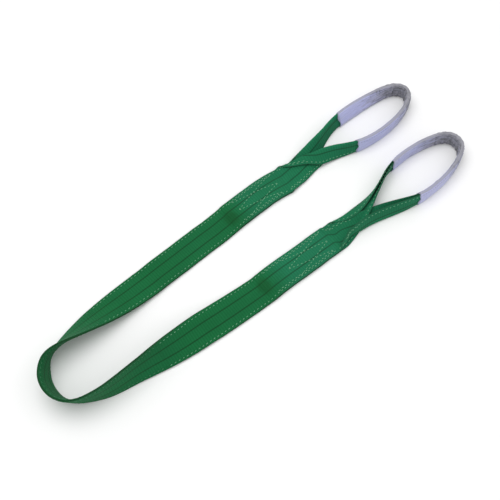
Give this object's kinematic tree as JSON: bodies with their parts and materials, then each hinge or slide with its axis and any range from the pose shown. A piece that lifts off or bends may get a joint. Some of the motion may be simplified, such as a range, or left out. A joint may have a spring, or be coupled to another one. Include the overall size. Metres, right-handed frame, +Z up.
{
  "type": "flat web sling",
  "caption": "Flat duplex webbing lifting sling with a folded, sleeved lifting eye at each end, lying in a hairpin with its bend on edge.",
  "frame": {"origin": "middle of the bounding box, on the floor the sling lies on", "axes": "+X along the hairpin towards the two eyes, +Y towards run A, +Z up from the floor"},
  "size_m": [0.9212, 0.2464, 0.0604],
  "materials": {
    "green_webbing": "matt ribbed woven polyester with two dark stripes",
    "sewing_thread": "pale green twisted sewing thread",
    "eye_sleeve": "soft lavender-grey woven wear sleeve with grey edges"
  },
  "bodies": {
    "bend": {"bend_top_ply": "green_webbing", "bend_bottom_ply": "green_webbing", "bend_outer_edge_seam": "sewing_thread", "bend_inner_edge_seam": "sewing_thread"},
    "run_a_mid": {"run_a_mid_top_ply": "green_webbing", "run_a_mid_bottom_ply": "green_webbing", "run_a_mid_outer_edge_seam": "sewing_thread", "run_a_mid_inner_edge_seam": "sewing_thread"},
    "run_a_end": {"run_a_end_top_ply": "green_webbing", "run_a_end_bottom_ply": "green_webbing", "run_a_end_outer_edge_seam": "sewing_thread", "run_a_end_inner_edge_seam": "sewing_thread", "splice_layer_a": "green_webbing", "splice_a_outer_second_row": "sewing_thread", "splice_a_inner_second_row": "sewing_thread", "splice_a_p_vee_seam": "sewing_thread", "splice_a_q_vee_seam": "sewing_thread"},
    "run_b_mid": {"run_b_mid_top_ply": "green_webbing", "run_b_mid_bottom_ply": "green_webbing", "run_b_mid_outer_edge_seam": "sewing_thread", "run_b_mid_inner_edge_seam": "sewing_thread"},
    "run_b_end": {"run_b_end_top_ply": "green_webbing", "run_b_end_bottom_ply": "green_webbing", "run_b_end_outer_edge_seam": "sewing_thread", "run_b_end_inner_edge_seam": "sewing_thread", "splice_layer_b": "green_webbing", "splice_b_outer_second_row": "sewing_thread", "splice_b_inner_second_row": "sewing_thread", "splice_b_p_vee_seam": "sewing_thread", "splice_b_q_vee_seam": "sewing_thread"},
    "eye_a": {"eye_a_webbing": "green_webbing", "eye_a_sleeve": "eye_sleeve", "eye_a_sleeve_seam": "sewing_thread"},
    "eye_b": {"eye_b_webbing": "green_webbing", "eye_b_sleeve": "eye_sleeve", "eye_b_sleeve_seam": "sewing_thread"}
  },
  "joints": [
    {"name": "swing_a", "type": "hinge", "parent": "bend", "child": "run_a_mid", "pos_m": [-0.424, 0.0594, 0], "axis": [0, 0, 1], "range_deg": [0, 75]},
    {"name": "fold_a", "type": "hinge", "parent": "run_a_mid", "child": "run_a_end", "pos_m": [-0.1954, 0.0759, 0.0055], "axis": [0.0471, -0.9989, 0], "range_deg": [0, 110]},
    {"name": "eye_a_flex", "type": "hinge", "parent": "run_a_end", "child": "eye_a", "pos_m": [0.1515, 0.0809, 0.0035], "axis": [-0.1424, -0.9898, 0], "range_deg": [0, 80]},
    {"name": "swing_b", "type": "hinge", "parent": "bend", "child": "run_b_mid", "pos_m": [-0.4236, -0.0544, 0], "axis": [0, 0, -1], "range_deg": [0, 75]},
    {"name": "fold_b", "type": "hinge", "parent": "run_b_mid", "child": "run_b_end", "pos_m": [-0.0895, -0.0664, 0.0058], "axis": [-0.0351, -0.9994, 0], "range_deg": [0, 110]},
    {"name": "eye_b_flex", "type": "hinge", "parent": "run_b_end", "child": "eye_b", "pos_m": [0.1315, -0.0701, 0.0035], "axis": [-0.0307, -0.9995, 0], "range_deg": [0, 80]}
  ]
}
